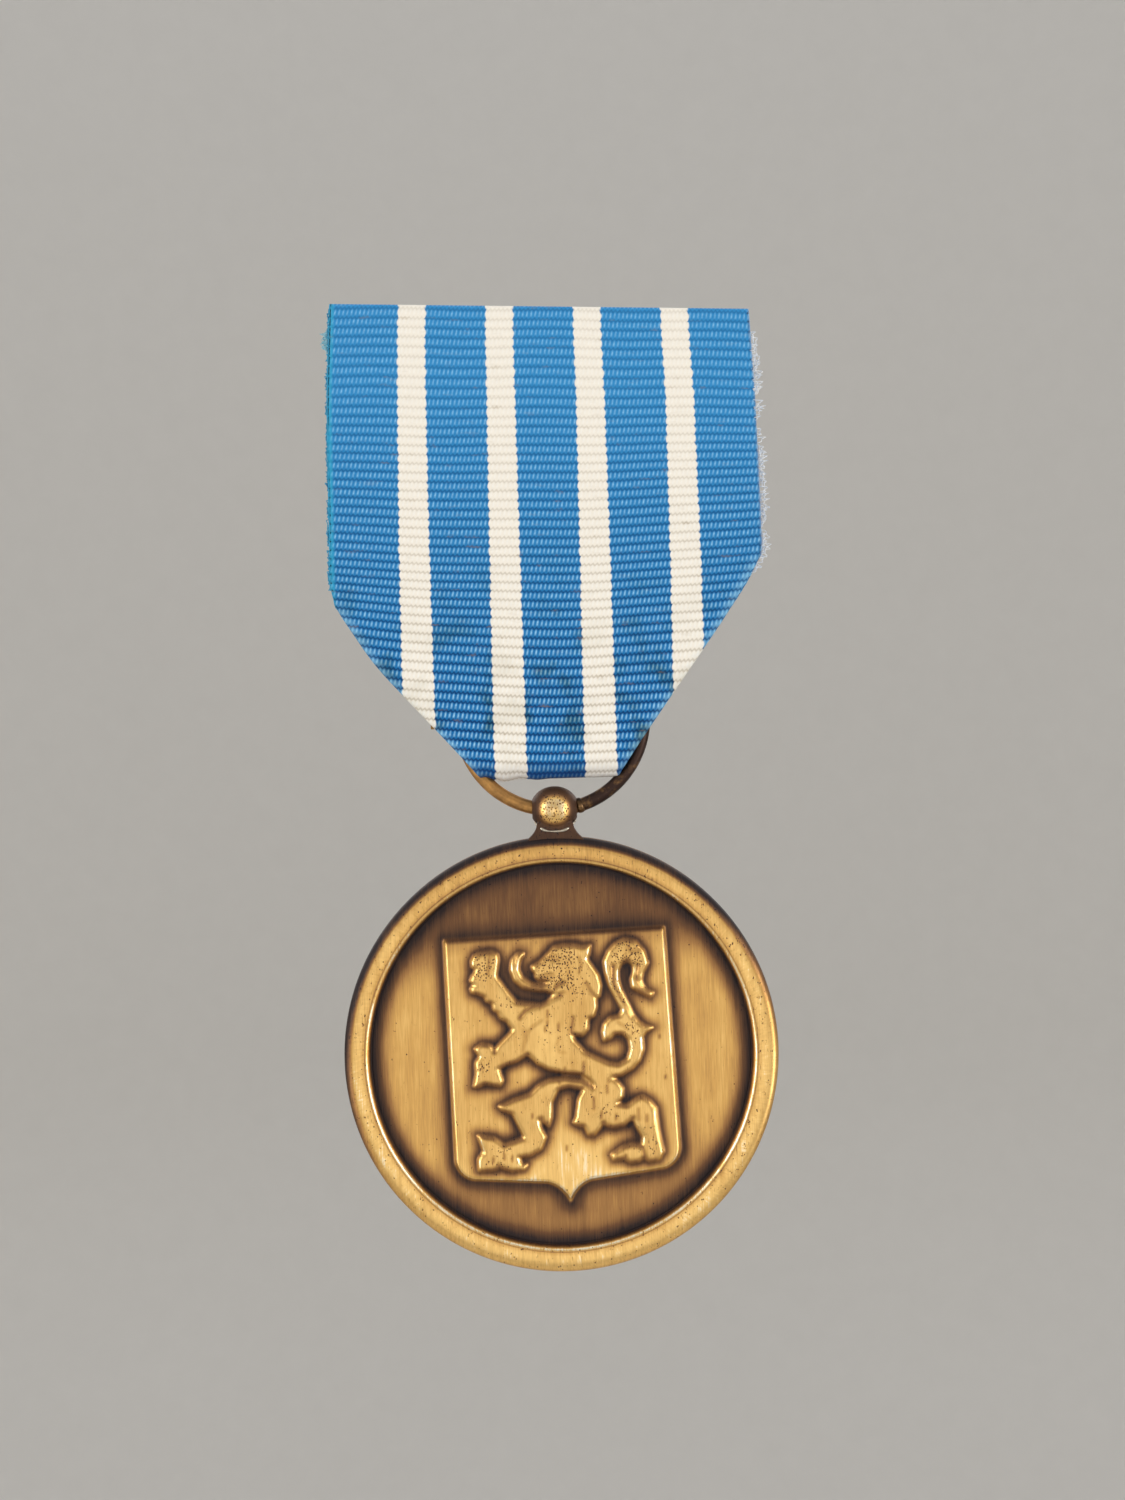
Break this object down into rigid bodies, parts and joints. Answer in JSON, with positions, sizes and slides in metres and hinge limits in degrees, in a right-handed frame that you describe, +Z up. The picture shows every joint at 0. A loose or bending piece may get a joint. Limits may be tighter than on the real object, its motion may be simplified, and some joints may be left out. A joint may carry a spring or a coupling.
{
  "type": "medal",
  "caption": "Round struck medal with a heraldic lion on a shield, hung by a pierced ball and a wire ring from a striped ribbon folded to a point, with a brooch pin behind.",
  "frame": {"origin": "on the axis of the brooch pin, on the ribbon's centre line, 4.5 mm below its top fold", "axes": "+Z up the ribbon, the front faces -Y, +X to the right seen from the front"},
  "size_m": [0.0386, 0.0049, 0.0857],
  "materials": {
    "bronze": "antique patinated bronze, brushed",
    "ring_brass": "worn brass wire",
    "solder": "dull silver solder",
    "ribbon": "ribbed woven silk, blue with white stripes",
    "thread": "twisted thread",
    "brooch_brass": "dull lacquered brass",
    "pin_steel": "nickelled wire"
  },
  "bodies": {
    "ribbon": {"ribbon_upper": "ribbon", "hem_stitches": "thread", "brooch_bar": "brooch_brass", "brooch_hinge": "brooch_brass", "hinge_rivet": "pin_steel", "brooch_catch": "brooch_brass"},
    "ribbon_tip": {"ribbon_tip": "ribbon", "fold_stitches": "thread", "fold_staple": "brooch_brass"},
    "ring": {"suspension_ring": "ring_brass", "ring_joint_bead": "solder"},
    "medal": {"medal_disc": "bronze", "suspension_ball": "bronze", "solder_seam": "solder"},
    "pin": {"brooch_pin": "pin_steel"}
  },
  "joints": [
    {"name": "tip_flex", "type": "hinge", "parent": "ribbon", "child": "ribbon_tip", "pos_m": [0, -0.0027, -0.0197], "axis": [1, 0, 0], "range_deg": [-35, 35]},
    {"name": "ring_turn", "type": "hinge", "parent": "ribbon_tip", "child": "ring", "pos_m": [0, -0.00185, -0.032], "axis": [0, 1, 0], "range_deg": [-20, 20]},
    {"name": "medal_swing", "type": "hinge", "parent": "ring", "child": "medal", "pos_m": [0, -0.00185, -0.0401], "axis": [1, 0, 0], "range_deg": [-110, 110]},
    {"name": "pin_open", "type": "hinge", "parent": "ribbon", "child": "pin", "pos_m": [-0.0145, 0, 0], "axis": [0, 0, 1], "range_deg": [0, 75]}
  ]
}
